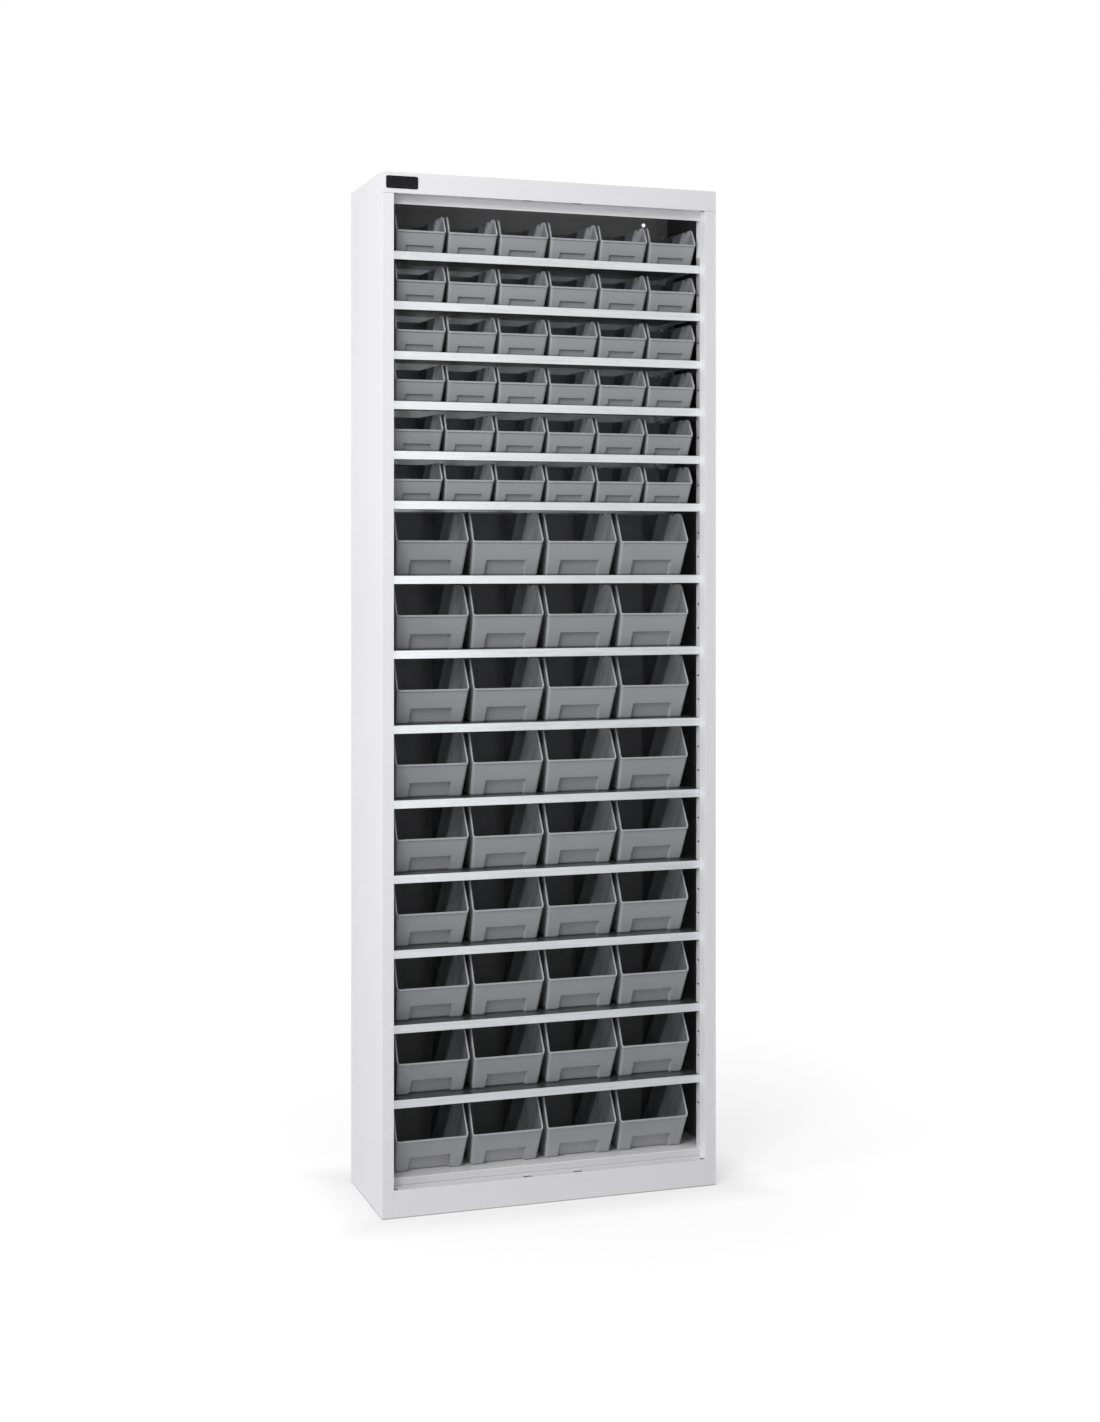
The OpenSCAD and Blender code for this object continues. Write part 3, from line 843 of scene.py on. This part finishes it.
def floor_material():
    """White for the camera, with the object's shadow on it, and a painted contact shadow close to the
    cabinet's foot.
    """
    s = Shader("floor_white")
    s.set(Base_Color=(FLOOR_COLOUR, FLOOR_COLOUR, FLOOR_COLOUR, 1), Roughness=0.9, Specular_IOR_Level=0.1)
    glow = s.node("Emission")
    glow.inputs["Color"].default_value = (1, 1, 1, 1)
    path = s.node("LightPath")
    half_w, half_d = FOOTPRINT
    open_floor = s.math("SUBTRACT", 1, s.inside((0, half_w), (-half_d, half_d), (-1, 1)))
    distance = s.node("VectorMath", operation="LENGTH")
    s.link(s.coords, distance.inputs[0])
    strength = s.remap(distance.outputs["Value"], *FLOOR_GLOW_FROM_TO, *FLOOR_GLOW)
    x, y, _ = s.parts_of(s.coords)
    beside = s.math("SUBTRACT", s.math("ABSOLUTE", x, 0), half_w)
    before = s.math("SUBTRACT", s.math("ABSOLUTE", y, 0), half_d)
    contact = s.remap(s.math("MAXIMUM", beside, before), 0, CONTACT_REACH, CONTACT_PAINTED_SHADE, 1)
    strength = s.math("MULTIPLY", strength, contact)
    seen = s.math("MULTIPLY", path.outputs["Is Camera Ray"], strength)
    seen = s.math("ADD", seen, s.math("MULTIPLY", path.outputs["Is Glossy Ray"], FLOOR_REFLECTED))
    s.link(s.math("MULTIPLY", seen, open_floor), glow.inputs["Strength"])
    both = s.node("AddShader")
    s.link(s.bsdf.outputs[0], both.inputs[0])
    s.link(glow.outputs[0], both.inputs[1])
    s.link(both.outputs[0], s.tree.nodes["Material Output"].inputs["Surface"])
    return s.material


def make_floor():
    """A wide floor."""
    bm = bmesh.new()
    bmesh.ops.create_grid(bm, x_segments=8, y_segments=8, size=FLOOR_HALF_SIZE)
    mesh = bpy.data.meshes.new("floor")
    bm.to_mesh(mesh)
    bm.free()
    floor = bpy.data.objects.new("floor", mesh)
    bpy.context.scene.collection.objects.link(floor)
    mesh.materials.append(floor_material())


def softbox(name, place, target, width, height, power):
    """A rectangular soft light."""
    light = bpy.data.lights.new(name, "AREA")
    light.shape = "RECTANGLE"
    light.size = width
    light.size_y = height
    light.energy = power
    obj = bpy.data.objects.new(name, light)
    bpy.context.scene.collection.objects.link(obj)
    obj.location = place
    obj.rotation_euler = (Vector(target) - Vector(place)).to_track_quat("-Z", "Y").to_euler()


def make_camera():
    """The photo's camera."""
    data = bpy.data.cameras.new("camera")
    camera = bpy.data.objects.new("camera", data)
    bpy.context.scene.collection.objects.link(camera)
    bpy.context.scene.camera = camera
    camera.location = CAMERA_PLACE
    camera.rotation_euler = Vector(CAMERA_LOOKS_ALONG).to_track_quat("-Z", "Y").to_euler()
    data.sensor_width = SENSOR_WIDTH
    data.lens = LENS
    data.shift_y = SHIFT_Y
    data.clip_end = 200


make_world()
make_floor()
for light in LIGHTS:
    softbox(*light)
make_camera()
bpy.context.scene.view_settings.view_transform = "Standard"
